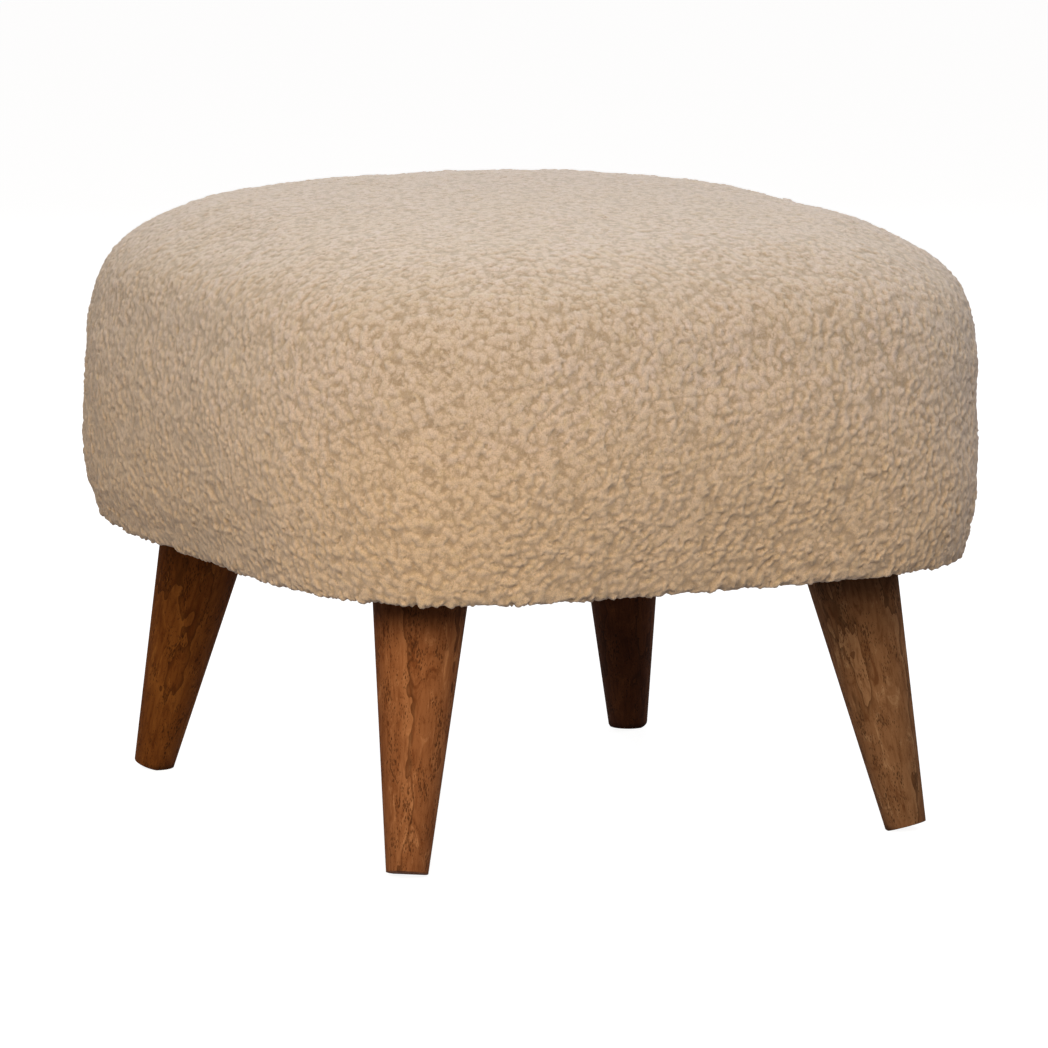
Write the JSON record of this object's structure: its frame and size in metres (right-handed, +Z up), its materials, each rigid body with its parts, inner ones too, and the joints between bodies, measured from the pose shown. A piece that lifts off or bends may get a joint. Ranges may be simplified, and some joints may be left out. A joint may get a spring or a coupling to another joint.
{
  "type": "upholstered footstool",
  "caption": "Low footstool: a domed, filled seat in curly pile cloth on splayed, tapered turned wooden legs; it stands free on the floor.",
  "frame": {"origin": "on the floor, under the middle of the seat", "axes": "+Z up; X along the stool's width; Y along its depth, -Y the front"},
  "size_m": [0.486, 0.532, 0.38],
  "materials": {
    "pile_cloth": "warm beige short curly looped pile, matt",
    "stained_wood": "mid-brown stain over open grain, satin lacquer"
  },
  "bodies": {
    "root": {"seat": "pile_cloth", "leg_front_left": "stained_wood", "leg_front_right": "stained_wood", "leg_back_left": "stained_wood", "leg_back_right": "stained_wood"}
  },
  "joints": []
}
